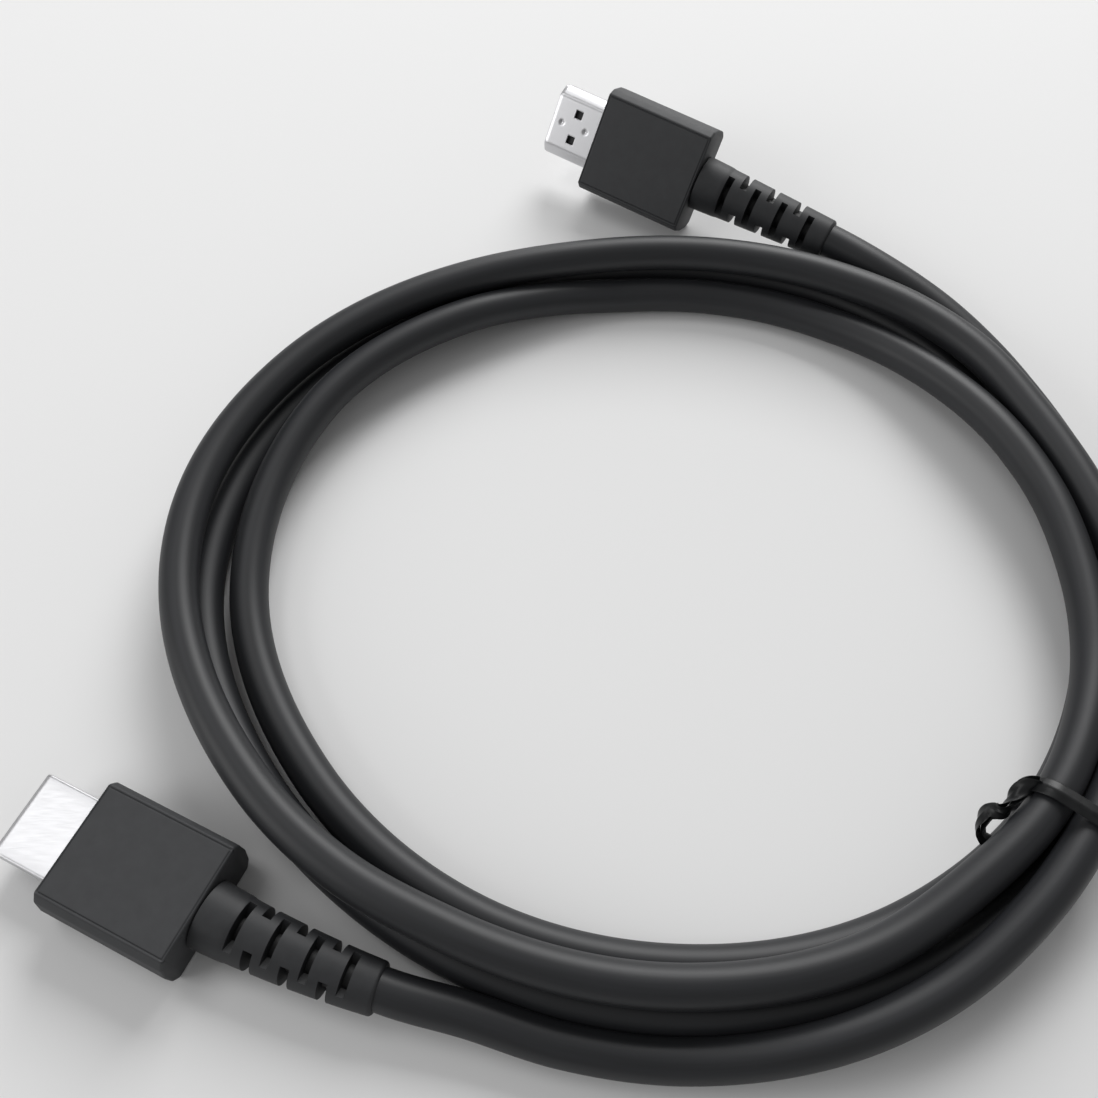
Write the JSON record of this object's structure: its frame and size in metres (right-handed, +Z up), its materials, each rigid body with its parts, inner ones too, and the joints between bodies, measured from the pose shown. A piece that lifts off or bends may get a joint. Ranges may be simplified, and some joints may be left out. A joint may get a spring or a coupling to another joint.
{
  "type": "hdmi cable",
  "caption": "Black round HDMI cable lying in a loose coil held by a twist tie, with a moulded plug and a slotted strain relief on each end.",
  "frame": {"origin": "on the floor, under the middle of the box around the two plugs", "axes": "+Z up off the floor, +Y from the near plug's side of the coil to the far plug's side, across the coil"},
  "size_m": [0.1843, 0.188, 0.0224],
  "materials": {
    "jacket": "satin black PVC",
    "housing": "fine matte moulded",
    "relief": "matte soft PVC",
    "shell": "plated and pressed",
    "insulator": "moulded",
    "tie": "thin PVC ribbon over wire"
  },
  "bodies": {
    "root": {"cable_jacket": "jacket", "twist_tie": "tie", "near_strain_relief": "relief", "near_housing": "housing", "near_shell": "shell", "near_insulator": "insulator", "far_strain_relief": "relief", "far_housing": "housing", "far_shell": "shell", "far_insulator": "insulator"}
  },
  "joints": []
}
